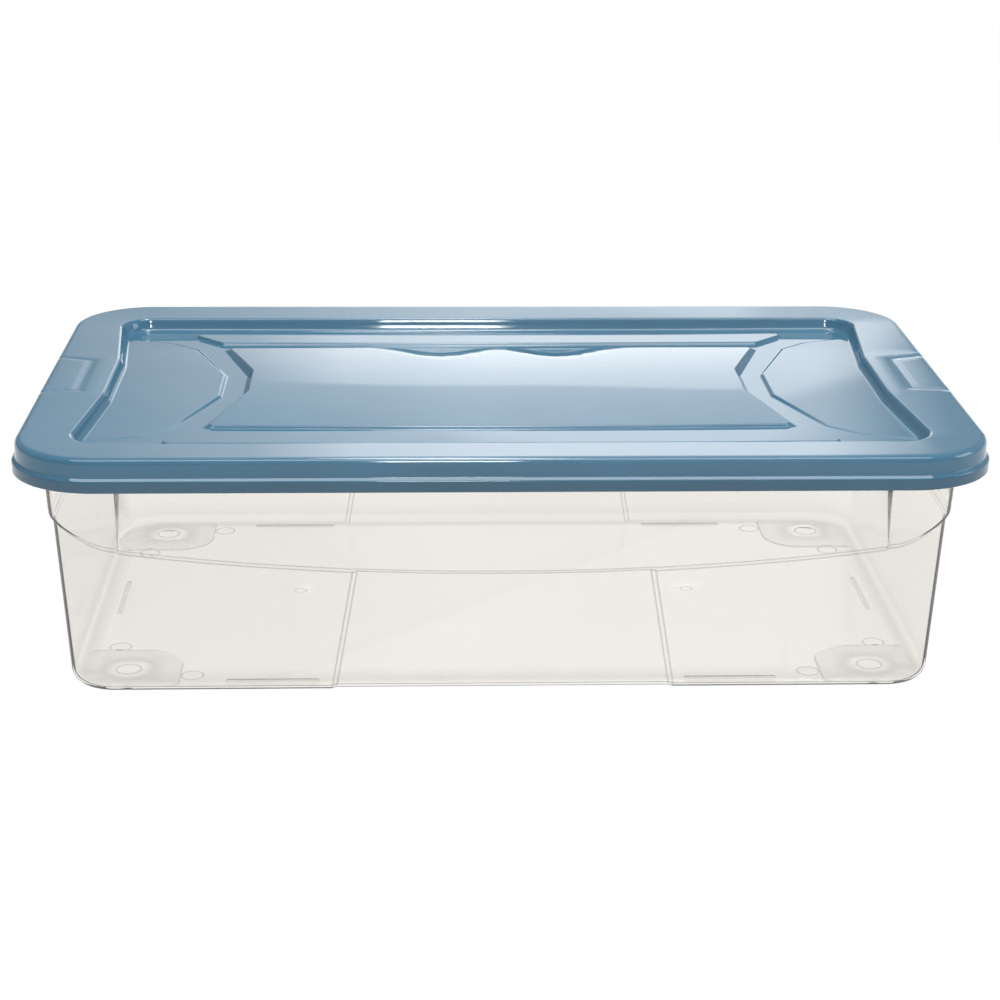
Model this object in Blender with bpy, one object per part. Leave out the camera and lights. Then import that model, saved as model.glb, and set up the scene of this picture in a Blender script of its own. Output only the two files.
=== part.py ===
"""Under bed storage box: a clear tub and a press-on lid. Metres, +Z up.

The origin is the middle of the tub's flat underside, X runs along the box and Y across it.
Every ring of points is worked out in the quarter where x and y are positive, then mirrored.
"""

import math

import bmesh
import bpy
from mathutils import Vector
from mathutils.geometry import delaunay_2d_cdt

# Tub walls: half sizes of the outer face at the floor line, and how they grow with height
TUB_HALF_X = 0.2751
TUB_HALF_Y = 0.1596
TUB_RADIUS = 0.0294
WALL_SLOPE = 0.075
RADIUS_SLOPE = 0.153
TUB_THICKNESS = 0.002
BASE_FILLET = 0.008

# The rounded ledge where the upper wall stands proud, low in the middle of each long side
STEP_OUT = 0.00245
STEP_RISE = 0.0026
STEP_MIDDLE_Z = 0.0833
STEP_END_Z = 0.110
STEP_CURVE = 0.239
STEP_CURVE_4 = 0.54
STEP_CORNER_POWER = 4.5

# The sunk panel in the middle of each long wall, wider at the floor than at the ledge
PANEL_HALF_BOTTOM = 0.1075
PANEL_LEAN = 0.175
PANEL_DEPTH = 0.0022
PANEL_EDGE = 0.0016

# Rim flange with its turned-down lip, deeper at the ends as hand grips
FLANGE_HALF_X = 0.2994
FLANGE_HALF_Y = 0.1836
FLANGE_RADIUS = 0.0508
FLANGE_TOP_Z = 0.1620
FLANGE_CHAMFER = 0.0014
LIP_THICKNESS = 0.002
LIP_BOTTOM_Z = 0.1415
GRIP_BOTTOM_Z = 0.1165
GRIP_STATIONS = ((0.0960, 0.1165), (0.1015, 0.1185), (0.1040, 0.1240), (0.1055, LIP_BOTTOM_Z))

# Floor: thicker foot pads in the corners, each with a round dish underneath, and short ribs
PAD_INNER_X = 0.206
PAD_INNER_Y = 0.0945
PAD_RADIUS = 0.025
PAD_INSET = 0.0038
PAD_BOTTOM_Z = 0.0015
PAD_TOP_Z = 0.003
DISH_X = 0.240
DISH_Y = 0.1275
DISH_RADIUS = 0.016
DISH_TOP_RADIUS = 0.0075
DISH_DEPTH = 0.0013
RIB_TOP_Z = 0.0032
RIB_WIDTH = 0.003
RIB_HALF_LENGTH = 0.0295
LONG_RIB_CENTRE = (0.1465, 0.1455)
SIDE_RIB_CENTRE = (0.2580, 0.0)

# Lid: skirt with a wider lower band, a flat border and a sunk panel with raised fields
LID_HALF_X = 0.3023
LID_HALF_Y = 0.1865
LID_RADIUS = 0.0535
LID_TOP_Z = 0.1643
LID_THICKNESS = 0.002
LID_BOTTOM_Z = 0.1435
BAND_OUT = 0.0023
BAND_TOP_Z = 0.1506
BASIN_WAIST_X = 0.2593
BASIN_WAIST_Y = 0.042
BASIN_HALF_X = 0.2678
BASIN_HALF_Y = 0.151
BASIN_RADIUS = 0.022
BASIN_WALL_RUN = 0.0025
BASIN_FLOOR_Z = 0.1548
CROWN_HALF_Y = 0.095
PLATE_RISE = (0.0020, 0.0032)
STRIP_RISE = (0.0022, 0.0)
FAN_RISE = (0.0007, 0.0008)
FIELD_RAMP = 0.0016
FIELD_TOUCH = 0.0001
FAN_END_Y = 0.121
FAN_RAMP_END_Y = 0.1235
PLATE_CORNERS = ((0.166, 0.025), (0.1865, 0.0920), (0.0, 0.095))
PLATE_FOOT_CORNERS = ((0.1697, 0.0245), (0.1905, 0.0936), (0.0, 0.0966))
FAN_CORNERS = ((0.186, 0.025), (0.211, 0.093), (0.230, 0.110))
STRIP_CORNERS = ((0.193, 0.1065), (0.2165, 0.130))
FLOOR_GRID = 0.034
GRID_CLEARANCE = 0.007

# Lid ends: a slightly raised area with a U-shaped groove that runs out at the edge
RAISED_END = ((0.2615, 0.0510), (0.2980, 0.0510))
RAISED_TOP_Z = 0.1651
RAISED_BEVEL = 0.0015
GROOVE_OUTER = ((0.3040, 0.0465), (0.2760, 0.0405), (0.2727, 0.0370))
GROOVE_INNER = ((0.2815, 0.0320), (0.2840, 0.0345), (0.3040, 0.0395))
GROOVE_FLOOR_Z = 0.1639

CORNER_STEPS = 8
CORNERS = [("corner", math.radians(90 * i / CORNER_STEPS)) for i in range(CORNER_STEPS + 1)]
TUB_QUARTER = (
    [("end", y) for y in (0.0, 0.050)]
    + [("end", y) for y, _ in GRIP_STATIONS]
    + CORNERS
    + [("long", x) for x in (0.215, 0.180, 0.140)]
    + [("panel", PANEL_EDGE), ("panel", 0.0)]
    + [("long", x) for x in (0.050, 0.0)]
)
LID_QUARTER = (
    [("end", y) for y in (0.0, BASIN_WAIST_Y, 0.085, FAN_END_Y, FAN_RAMP_END_Y)]
    + CORNERS
    + [("long", x) for x in (0.200, 0.135, 0.070, 0.0)]
)


def clear_scene():
    for item in list(bpy.data.objects):
        bpy.data.objects.remove(item, do_unlink=True)


def make_material(name, colour, roughness, alpha=1.0):
    material = bpy.data.materials.new(name)
    material.use_nodes = True
    shader = material.node_tree.nodes["Principled BSDF"]
    shader.inputs["Base Color"].default_value = (*colour, 1.0)
    shader.inputs["Roughness"].default_value = roughness
    shader.inputs["Metallic"].default_value = 0.0
    shader.inputs["Alpha"].default_value = alpha
    return material


def make_object(name, mesh_builder, material=None):
    mesh = bpy.data.meshes.new(name)
    builder = bmesh.new()
    mesh_builder(builder)
    bmesh.ops.recalc_face_normals(builder, faces=builder.faces)
    builder.to_mesh(mesh)
    builder.free()
    item = bpy.data.objects.new(name, mesh)
    bpy.context.collection.objects.link(item)
    if material:
        mesh.materials.append(material)
    return item


def make_tool(name, mesh_builder):
    tool = make_object(name, mesh_builder)
    tool.hide_render = True
    tool.display_type = "WIRE"
    return tool


def add_boolean(item, tool, operation):
    modifier = item.modifiers.new(tool.name, "BOOLEAN")
    modifier.operation = operation
    modifier.solver = "EXACT"
    modifier.object = tool


def mirrored_ring(quarter, point_of):
    """Mirror a quarter's points, which run from y = 0 to x = 0, into a closed ring."""
    first = [point_of(station) for station in quarter]
    second = [(-x, y, z) for x, y, z in reversed(first[:-1])]
    third = [(-x, -y, z) for x, y, z in first[1:]]
    fourth = [(x, -y, z) for x, y, z in reversed(first[1:-1])]
    return first + second + third + fourth


def join_rings(builder, rings):
    """Add the rings and the walls between each one and the next, and return their vertices."""
    rows = [[builder.verts.new(point) for point in ring] for ring in rings]
    for lower, upper in zip(rows, rows[1:]):
        for i in range(len(lower)):
            j = (i + 1) % len(lower)
            builder.faces.new((lower[i], lower[j], upper[j], upper[i]))
    return rows


def rounded_point(station, half_x, half_y, radius, height):
    """A point on a rounded rectangle, at a station of its quarter."""
    kind, value = station
    if kind == "end":
        return (half_x, value, height)
    if kind == "corner":
        x = half_x - radius + radius * math.cos(value)
        y = half_y - radius + radius * math.sin(value)
        return (x, y, height)
    return (value, half_y, height)


def long_step_height(x):
    return STEP_MIDDLE_Z + STEP_CURVE * x**2 + STEP_CURVE_4 * x**4


def step_height(station):
    """Height of the ledge's middle: an arc on the long walls, level on the end walls."""
    kind, value = station
    if kind == "end":
        return STEP_END_Z
    if kind == "corner":
        long_end = long_step_height(TUB_HALF_X - TUB_RADIUS)
        return STEP_END_Z + (long_end - STEP_END_Z) * math.sin(value) ** STEP_CORNER_POWER
    if kind == "panel":
        return long_step_height(PANEL_HALF_BOTTOM)
    return long_step_height(value)


def wall_point(station, height, grow, sunk=True):
    """A point on the tub's wall, moved out by grow, with or without the sunk panel."""
    kind, value = station
    half_x = TUB_HALF_X + WALL_SLOPE * height + grow
    half_y = TUB_HALF_Y + WALL_SLOPE * height + grow
    radius = TUB_RADIUS + RADIUS_SLOPE * height + grow
    panel_edge = PANEL_HALF_BOTTOM - PANEL_LEAN * min(height, STEP_MIDDLE_Z)
    if kind == "panel":
        station = ("long", panel_edge + value)
    on_panel = station[0] == "long" and station[1] <= panel_edge
    if sunk and on_panel:
        half_y -= PANEL_DEPTH
    return rounded_point(station, half_x, half_y, radius, height)


def wall_ring(height, grow, sunk=True):
    return mirrored_ring(TUB_QUARTER, lambda s: wall_point(s, height, grow, sunk))


def step_ring(rise, grow, sunk):
    return mirrored_ring(TUB_QUARTER, lambda s: wall_point(s, step_height(s) + rise, grow, sunk))


def fillet_rings(radius, bottom, grow, angles):
    """Rings round the corner between the floor and the wall."""
    rings = []
    for degrees in angles:
        angle = math.radians(degrees)
        height = bottom + radius * (1 - math.cos(angle))
        rings.append(wall_ring(height, grow - radius * (1 - math.sin(angle))))
    return rings


def flange_point(station, height, grow):
    kind, value = station
    if kind == "panel":
        station = ("long", PANEL_HALF_BOTTOM - PANEL_LEAN * STEP_MIDDLE_Z + value)
    half_x = FLANGE_HALF_X + grow
    half_y = FLANGE_HALF_Y + grow
    return rounded_point(station, half_x, half_y, FLANGE_RADIUS + grow, height)


def flange_ring(height, grow):
    return mirrored_ring(TUB_QUARTER, lambda s: flange_point(s, height, grow))


def lip_height(station):
    kind, value = station
    if kind != "end":
        return LIP_BOTTOM_Z
    return dict(GRIP_STATIONS).get(value, GRIP_BOTTOM_Z)


def lip_bottom_ring(grow):
    return mirrored_ring(TUB_QUARTER, lambda s: flange_point(s, lip_height(s), grow))


def build_tub(builder):
    inside = -TUB_THICKNESS
    flange_under = FLANGE_TOP_Z - TUB_THICKNESS
    half_rise = STEP_RISE / 2
    outer = fillet_rings(BASE_FILLET, 0.0, 0.0, (0, 30, 60, 90))
    outer += [step_ring(-half_rise, 0.0, True), step_ring(half_rise, STEP_OUT, False)]
    outer += [wall_ring(flange_under, STEP_OUT, False)]
    flange = [flange_ring(flange_under, -LIP_THICKNESS)]
    flange += [lip_bottom_ring(-LIP_THICKNESS), lip_bottom_ring(0.0)]
    flange += [flange_ring(FLANGE_TOP_Z - FLANGE_CHAMFER, 0.0)]
    flange += [flange_ring(FLANGE_TOP_Z, -FLANGE_CHAMFER)]
    inner = [wall_ring(FLANGE_TOP_Z, STEP_OUT + inside, False)]
    inner += [step_ring(half_rise, STEP_OUT + inside, False)]
    inner += [step_ring(-half_rise, inside, True)]
    inner_fillet = BASE_FILLET - TUB_THICKNESS
    inner += fillet_rings(inner_fillet, TUB_THICKNESS, inside, (90, 60, 30, 0))
    rows = join_rings(builder, outer + flange + inner)
    builder.faces.new(list(reversed(rows[0])))
    builder.faces.new(rows[-1])


def four_ways(points):
    """The four mirrored copies of a quarter's outline."""
    signs = ((1, 1), (-1, 1), (-1, -1), (1, -1))
    return [[(sx * x, sy * y) for x, y in points] for sx, sy in signs]


def add_tapered(builder, low_outline, high_outline, bottom, top):
    low = [builder.verts.new((x, y, bottom)) for x, y in low_outline]
    high = [builder.verts.new((x, y, top)) for x, y in high_outline]
    builder.faces.new(low)
    builder.faces.new(high)
    for i in range(len(low)):
        j = (i + 1) % len(low)
        builder.faces.new((low[i], low[j], high[j], high[i]))


def add_prism(builder, outline, bottom, top):
    add_tapered(builder, outline, outline, bottom, top)


def box_outline(centre, half_x, half_y):
    x, y = centre
    corners = ((-1, -1), (1, -1), (1, 1), (-1, 1))
    return [(x + sx * half_x, y + sy * half_y) for sx, sy in corners]


def pad_outline():
    """A corner pad: round where it faces the middle, and it follows the tub's own corner."""
    half_x = TUB_HALF_X - PAD_INSET
    half_y = TUB_HALF_Y - PAD_INSET
    radius = TUB_RADIUS - PAD_INSET
    outline = [(half_x, PAD_INNER_Y)]
    for station in CORNERS:
        outline.append(rounded_point(station, half_x, half_y, radius, 0.0)[:2])
    outline.append((PAD_INNER_X, half_y))
    for _, angle in CORNERS:
        x = PAD_INNER_X + PAD_RADIUS * (1 - math.cos(angle))
        y = PAD_INNER_Y + PAD_RADIUS * (1 - math.sin(angle))
        outline.append((x, y))
    return outline


def build_floor_relief(builder):
    for outline in four_ways(pad_outline()):
        add_prism(builder, outline, PAD_BOTTOM_Z, PAD_TOP_Z)
    long_rib = box_outline(LONG_RIB_CENTRE, RIB_HALF_LENGTH, RIB_WIDTH / 2)
    for outline in four_ways(long_rib):
        add_prism(builder, outline, PAD_BOTTOM_Z, RIB_TOP_Z)
    side_rib = box_outline(SIDE_RIB_CENTRE, RIB_WIDTH / 2, RIB_HALF_LENGTH)
    for outline in four_ways(side_rib)[:2]:
        add_prism(builder, outline, PAD_BOTTOM_Z, RIB_TOP_Z)


def build_dishes(builder):
    """Cutters for the round dishes under the pads, started just below the floor."""
    below = 0.001
    widening = (DISH_RADIUS - DISH_TOP_RADIUS) * below / DISH_DEPTH
    for ((x, y),) in four_ways([(DISH_X, DISH_Y)]):
        result = bmesh.ops.create_cone(
            builder,
            cap_ends=True,
            segments=32,
            radius1=DISH_RADIUS + widening,
            radius2=DISH_TOP_RADIUS,
            depth=DISH_DEPTH + below,
        )
        centre = Vector((x, y, (DISH_DEPTH - below) / 2))
        bmesh.ops.translate(builder, vec=centre, verts=result["verts"])


def lid_ring(grow, height):
    def point(station):
        half_x = LID_HALF_X + grow
        half_y = LID_HALF_Y + grow
        return rounded_point(station, half_x, half_y, LID_RADIUS + grow, height)

    return mirrored_ring(LID_QUARTER, point)


def basin_point(station, grow):
    """A point on the sunk panel's outline, which is waisted at both ends."""
    kind, value = station
    half_x = BASIN_HALF_X
    if kind == "end":
        straight_end = BASIN_HALF_Y - BASIN_RADIUS
        share = (value - BASIN_WAIST_Y) / (straight_end - BASIN_WAIST_Y)
        half_x = BASIN_WAIST_X + (BASIN_HALF_X - BASIN_WAIST_X) * max(0.0, share)
    radius = BASIN_RADIUS + grow
    return rounded_point(station, half_x + grow, BASIN_HALF_Y + grow, radius, 0.0)[:2]


def basin_ring(grow, height_of):
    def point(station):
        x, y = basin_point(station, grow)
        return (x, y, height_of(x, y))

    return mirrored_ring(LID_QUARTER, point)


def plate_outline(corners):
    tip, corner, middle = corners
    outline = []
    for sx, sy in ((1, 1), (-1, 1), (-1, -1), (1, -1)):
        points = [tip, corner, middle] if sx == sy else [corner, tip]
        outline += [(sx * x, sy * y) for x, y in points]
    return outline


def field_outlines():
    """The tops of the raised fields as closed outlines: one plate, two strips and two fans."""
    inner, outer = STRIP_CORNERS
    strips = []
    fans = []
    for sign in (1, -1):
        strip = [inner, outer, (-outer[0], outer[1]), (-inner[0], inner[1])]
        strips.append([(x, sign * y) for x, y in strip])
        end = basin_point(("end", FAN_END_Y), 0.02)
        half = list(FAN_CORNERS) + [end]
        fan = half + [(x, -y) for x, y in reversed(half)]
        fans.append([(sign * x, y) for x, y in fan])
    return [plate_outline(PLATE_CORNERS)] + strips + fans


def outside_distance(outline, x, y):
    """How far a point lies outside a closed outline, and 0 inside it."""
    inside = False
    nearest = math.inf
    for (ax, ay), (bx, by) in zip(outline, outline[1:] + outline[:1]):
        if (ay > y) != (by > y) and x < ax + (y - ay) * (bx - ax) / (by - ay):
            inside = not inside
        run = Vector((bx - ax, by - ay))
        start = Vector((x - ax, y - ay))
        share = min(1.0, max(0.0, start.dot(run) / run.length_squared))
        nearest = min(nearest, (start - share * run).length)
    return 0.0 if inside else nearest


def floor_height(x, y):
    """Height of the lid's sunk panel: a flat floor with the crowned raised fields on it."""
    crown = max(0.0, 1 - (y / CROWN_HALF_Y) ** 2)
    rises = (PLATE_RISE, STRIP_RISE, STRIP_RISE, FAN_RISE, FAN_RISE)
    for outline, (edge, middle) in zip(field_outlines(), rises):
        if outside_distance(outline, x, y) < FIELD_TOUCH:
            return BASIN_FLOOR_Z + edge + middle * crown
    return BASIN_FLOOR_Z


def offset_path(path, distance):
    """Move an open path sideways, with mitred corners."""
    moved = []
    for i, point in enumerate(path):
        here = Vector(point)
        before = here - Vector(path[i - 1]) if i else None
        after = Vector(path[i + 1]) - here if i + 1 < len(path) else None
        sides = [run.orthogonal().normalized() for run in (before, after) if run]
        middle = sum(sides, Vector((0.0, 0.0))).normalized()
        moved.append(tuple(here - middle * distance / middle.dot(sides[0])))
    return moved


def field_paths(grow):
    """The top and foot lines of the raised fields, cut where the fans reach the wall."""
    plate = plate_outline(PLATE_CORNERS)
    plate_foot = plate_outline(PLATE_FOOT_CORNERS)
    paths = [plate + plate[:1], plate_foot + plate_foot[:1]]
    for outline in field_outlines()[1:3]:
        loop = outline + outline[:2]
        sign = 1 if signed_area(outline) > 0 else -1
        ramp = offset_path(loop, sign * FIELD_RAMP)[1:]
        paths += [outline + outline[:1], ramp]
    half = list(FAN_CORNERS)
    top = half + [basin_point(("end", FAN_END_Y), grow)]
    foot = offset_path([(x, -y) for x, y in reversed(half)] + half, FIELD_RAMP)[len(half):]
    foot = foot + [basin_point(("end", FAN_RAMP_END_Y), grow)]
    for path in (top, foot):
        whole = [(x, -y) for x, y in reversed(path)] + path
        paths += [whole, [(-x, y) for x, y in whole]]
    return paths


def signed_area(outline):
    pairs = zip(outline, outline[1:] + outline[:1])
    return sum(ax * by - bx * ay for (ax, ay), (bx, by) in pairs) / 2


def grid_points(paths, ring):
    """Points on a plain grid, kept clear of the ring and of the field lines."""
    points = []
    columns = int(BASIN_HALF_X / FLOOR_GRID)
    rows = int(BASIN_HALF_Y / FLOOR_GRID)
    lines = paths + [ring + ring[:1]]
    for i in range(-columns, columns + 1):
        for j in range(-rows, rows + 1):
            x, y = i * FLOOR_GRID, j * FLOOR_GRID
            if outside_distance(ring, x, y) == 0 and clear_of(lines, x, y):
                points.append((x, y))
    return points


def clear_of(lines, x, y):
    for line in lines:
        for pair in zip(line, line[1:]):
            if outside_distance(list(pair), x, y) < GRID_CLEARANCE:
                return False
    return True


def fill_basin(builder, ring_verts, grow, drop):
    """Fill the sunk panel inside a ring with triangles that follow the field lines."""
    ring = [tuple(vert.co[:2]) for vert in ring_verts]
    points = list(ring)
    edges = [(i, (i + 1) % len(ring)) for i in range(len(ring))]
    paths = field_paths(grow)
    for path in paths:
        first = len(points)
        points += path
        edges += [(i, i + 1) for i in range(first, len(points) - 1)]
    points += grid_points(paths, ring)
    flat = [Vector(point) for point in points]
    result = delaunay_2d_cdt(flat, edges, [], 1, 1e-7)
    coords, triangles, origins = result[0], result[2], result[3]
    verts = []
    for (x, y), origin in zip(coords, origins):
        on_ring = [i for i in origin if i < len(ring)]
        if on_ring:
            verts.append(ring_verts[on_ring[0]])
        else:
            verts.append(builder.verts.new((x, y, floor_height(x, y) - drop)))
    for triangle in triangles:
        builder.faces.new([verts[i] for i in triangle])


def build_lid(builder):
    wall = LID_THICKNESS
    under = LID_TOP_Z - wall
    foot = -BASIN_WALL_RUN
    under_foot = foot + wall - 0.0002
    rings = [basin_ring(foot, floor_height)]
    rings += [basin_ring(0.0, lambda x, y: LID_TOP_Z)]
    rings += [lid_ring(-0.0050, LID_TOP_Z), lid_ring(-0.0030, LID_TOP_Z - 0.0004)]
    rings += [lid_ring(-0.0008, LID_TOP_Z - 0.0019), lid_ring(0.0, LID_TOP_Z - 0.0043)]
    rings += [lid_ring(0.0004, BAND_TOP_Z + 0.0012), lid_ring(BAND_OUT, BAND_TOP_Z)]
    rings += [lid_ring(BAND_OUT, LID_BOTTOM_Z), lid_ring(BAND_OUT - wall, LID_BOTTOM_Z)]
    rings += [lid_ring(BAND_OUT - wall, BAND_TOP_Z - 0.0010)]
    rings += [lid_ring(-wall, BAND_TOP_Z + 0.0004), lid_ring(-wall, under - 0.0013)]
    rings += [lid_ring(-wall - 0.0013, under)]
    rings += [basin_ring(wall, lambda x, y: under)]
    rings += [basin_ring(under_foot, lambda x, y: floor_height(x, y) - wall)]
    rows = join_rings(builder, rings)
    fill_basin(builder, rows[0], foot, 0.0)
    fill_basin(builder, rows[-1], under_foot, wall)


def full_outline(half):
    """A closed outline from the points of its half, which is mirrored about the X axis."""
    return list(half) + [(x, -y) for x, y in reversed(half)]


def build_raised_ends(builder):
    low = full_outline(RAISED_END)
    (x0, y0), (x1, y1) = RAISED_END
    inset = ((x0 + RAISED_BEVEL, y0 - RAISED_BEVEL), (x1 - RAISED_BEVEL, y1 - RAISED_BEVEL))
    high = full_outline(inset)
    for sign in (1, -1):
        low_outline = [(sign * x, y) for x, y in low]
        high_outline = [(sign * x, y) for x, y in high]
        add_tapered(builder, low_outline, high_outline, LID_TOP_Z - 0.0008, RAISED_TOP_Z)


def build_end_grooves(builder):
    inner_side = [(x, -y) for x, y in reversed(GROOVE_INNER)] + list(GROOVE_INNER)
    outline = full_outline(GROOVE_OUTER) + inner_side
    for sign in (1, -1):
        add_prism(builder, [(sign * x, y) for x, y in outline], GROOVE_FLOOR_Z, LID_TOP_Z + 0.003)


def main():
    clear_scene()
    clear_plastic = make_material("clear_polypropylene", (0.86, 0.84, 0.81), 0.18, 0.35)
    blue_plastic = make_material("blue_polypropylene", (0.22, 0.42, 0.56), 0.25)
    tub = make_object("tub", build_tub, clear_plastic)
    add_boolean(tub, make_tool("floor_relief", build_floor_relief), "UNION")
    add_boolean(tub, make_tool("dish_cutters", build_dishes), "DIFFERENCE")
    lid = make_object("lid", build_lid, blue_plastic)
    add_boolean(lid, make_tool("raised_ends", build_raised_ends), "UNION")
    add_boolean(lid, make_tool("end_grooves", build_end_grooves), "DIFFERENCE")


main()
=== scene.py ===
"""Looks for the under bed box: a clear polypropylene tub and its glossy blue lid.

Both pieces are rebuilt here as finer meshes than the CAD solids they stand for. Their sizes
are in millimetres until a mesh is built; lights and camera are in metres. The origin is the
middle of the tub's underside, X runs along the box and Z is up.
"""

import math

import bpy
import numpy as np
from mathutils import Matrix, Vector
from mathutils.geometry import delaunay_2d_cdt


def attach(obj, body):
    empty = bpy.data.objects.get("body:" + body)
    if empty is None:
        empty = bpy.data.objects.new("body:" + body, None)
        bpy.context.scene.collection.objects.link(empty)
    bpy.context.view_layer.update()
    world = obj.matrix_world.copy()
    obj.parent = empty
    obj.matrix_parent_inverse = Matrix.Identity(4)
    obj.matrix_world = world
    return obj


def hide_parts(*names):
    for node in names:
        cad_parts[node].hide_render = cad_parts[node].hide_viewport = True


MM = 0.001
ARC_DEGREES = 5.0  # angle of one step round a corner of an outline
NO_STEPS = 1e9  # a spacing so wide that straight edges get no points of their own

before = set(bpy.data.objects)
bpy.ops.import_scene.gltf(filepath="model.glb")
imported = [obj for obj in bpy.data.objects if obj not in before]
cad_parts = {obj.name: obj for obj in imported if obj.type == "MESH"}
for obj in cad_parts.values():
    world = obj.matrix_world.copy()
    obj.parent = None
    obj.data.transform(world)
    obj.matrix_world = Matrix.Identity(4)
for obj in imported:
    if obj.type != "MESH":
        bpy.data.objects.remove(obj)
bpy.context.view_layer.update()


# ---------------------------------------------------------------- plan outlines


def direction(vector):
    return vector / np.linalg.norm(vector)


class Outline:
    """A closed plan outline of straight edges with rounded corners, drawn anticlockwise."""

    def __init__(self, corners, radii):
        points = np.array(corners, float)
        self.corners = []
        for i, point in enumerate(points):
            before = direction(point - points[i - 1])
            after = direction(points[(i + 1) % len(points)] - point)
            first = np.array((before[1], -before[0]))
            last = np.array((after[1], -after[0]))
            side = 1.0 if before[0] * after[1] - before[1] * after[0] > 0 else -1.0
            mitre = (first + last) / (1.0 + first @ last)
            centre = point - side * radii[i] * mitre
            start = math.atan2(first[1], first[0])
            turn = math.atan2(last[1], last[0]) - start
            turn = (turn + math.pi) % (2 * math.pi) - math.pi
            self.corners.append((centre, radii[i], side, start, turn))
        self.outer = self.path(0.0, NO_STEPS)

    def arc(self, i, grow, steps):
        """Points round corner i, moved outwards by grow."""
        centre, radius, side, start, turn = self.corners[i]
        angles = start + turn * np.linspace(0.0, 1.0, steps + 1)
        reach = side * (radius + side * grow)
        return centre + reach * np.stack((np.cos(angles), np.sin(angles)), 1)

    def path(self, grow, spacing):
        """Points along the outline, moved outwards by grow."""
        points = []
        for i, (*_, turn) in enumerate(self.corners):
            steps = max(1, math.ceil(abs(math.degrees(turn)) / ARC_DEGREES))
            bend = self.arc(i, grow, steps)
            following = self.arc((i + 1) % len(self.corners), grow, 1)[0]
            run = np.linalg.norm(following - bend[-1])
            count = max(1, math.ceil(run / spacing))
            shares = np.linspace(0.0, 1.0, count + 1)[1:-1, None]
            points += list(bend) + list(bend[-1] + shares * (following - bend[-1]))
        return np.array(points)

    def distance(self, points):
        """Distance of points from the outline, negative inside it."""
        nearest = np.full(len(points), np.inf)
        for i, (centre, radius, side, start, turn) in enumerate(self.corners):
            offset = points - centre
            angle = np.arctan2(side * offset[:, 1], side * offset[:, 0]) - start
            angle = (angle - turn / 2 + math.pi) % (2 * math.pi) - math.pi
            gap = np.abs(np.linalg.norm(offset, axis=1) - radius)
            on_arc = np.abs(angle) <= abs(turn) / 2
            nearest = np.where(on_arc, np.minimum(nearest, gap), nearest)
            begin = self.arc(i, 0.0, 1)[1]
            end = self.arc((i + 1) % len(self.corners), 0.0, 1)[0]
            nearest = np.minimum(nearest, segment_distance(points, begin, end))
        return np.where(inside(points, self.outer), -nearest, nearest)


def segment_distance(points, begin, end):
    run = end - begin
    share = np.clip((points - begin) @ run / max(run @ run, 1e-12), 0.0, 1.0)
    return np.linalg.norm(points - begin - share[:, None] * run, axis=1)


def inside(points, outline):
    """Whether each point is inside a closed polygon, by counting crossings."""
    result = np.zeros(len(points), bool)
    for (ax, ay), (bx, by) in zip(outline, np.roll(outline, -1, axis=0)):
        crosses = (ay > points[:, 1]) != (by > points[:, 1])
        if ay == by:
            continue
        at = ax + (points[:, 1] - ay) * (bx - ax) / (by - ay)
        result ^= crosses & (points[:, 0] < at)
    return result


def rectangle(half_x, half_y, radius):
    corners = [(half_x, -half_y), (half_x, half_y), (-half_x, half_y), (-half_x, -half_y)]
    return Outline(corners, [radius] * 4)


def four_fold(quarter):
    """Corners in the quarter where x and y are positive, mirrored into a closed outline.
    The quarter runs from the X axis to the Y axis."""
    first = list(quarter)
    second = [(-x, y) for x, y in reversed(quarter)]
    third = [(-x, -y) for x, y in quarter]
    fourth = [(x, -y) for x, y in reversed(quarter)]
    return first + second + third + fourth


def bent(t, rounding):
    """0 before 0 and t after it, with the corner rounded."""
    bend = (t + rounding) ** 2 / (4 * rounding)
    return np.where(t > rounding, t, np.where(t > -rounding, bend, 0.0))


def ramp(distance, begin, end, rounding, last_rounding=None):
    """Rises from 0 at begin to 1 at end, with rounded corners."""
    last = rounding if last_rounding is None else last_rounding
    return (bent(distance - begin, rounding) - bent(distance - end, last)) / (end - begin)


# ---------------------------------------------------------------- height-field meshes


def gradient_normals(height, points):
    """Normals of a height field, from its slope over a short step."""
    step = 0.06
    dx = np.array((step, 0.0))
    dy = np.array((0.0, step))
    slope_x = (height(points + dx) - height(points - dx)) / (2 * step)
    slope_y = (height(points + dy) - height(points - dy)) / (2 * step)
    normals = np.stack((-slope_x, -slope_y, np.ones(len(points))), 1)
    return normals / np.linalg.norm(normals, axis=1)[:, None]


def kept_pairs(keep):
    """Neighbours along a closed path that are both kept, as index pairs to join."""
    following = [(i, (i + 1) % len(keep)) for i in range(len(keep))]
    return [(i, j) for i, j in following if keep[i] and keep[j]]


def grid(half_x, half_y, spacing):
    xs = np.linspace(-half_x, half_x, 2 * math.ceil(half_x / spacing) + 1)
    ys = np.linspace(-half_y, half_y, 2 * math.ceil(half_y / spacing) + 1)
    return np.stack(np.meshgrid(xs, ys, indexing="ij"), -1).reshape(-1, 2)


def triangulate(boundary, lines, extra):
    """Triangles inside a boundary ring that follow the lines. Each line is (points, keep).
    The first points of the result are the boundary's own."""
    points = [tuple(p) for p in boundary]
    count = len(points)
    edges = [(i, (i + 1) % count) for i in range(count)]
    for path, keep in lines:
        base = len(points)
        points += [tuple(p) for p in path[keep]]
        index = np.cumsum(keep) - 1
        edges += [(base + index[i], base + index[j]) for i, j in kept_pairs(keep)]
    points += [tuple(p) for p in extra]
    flat = [Vector(p) for p in points]
    result = delaunay_2d_cdt(flat, edges, [], 1, 1e-5)
    coords = np.array([tuple(p) for p in result[0]])
    origin = np.full(len(coords), -1)
    for i, sources in enumerate(result[3]):
        on_ring = [s for s in sources if s < count]
        if on_ring:
            origin[i] = on_ring[0]
    return coords, result[2], origin


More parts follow.
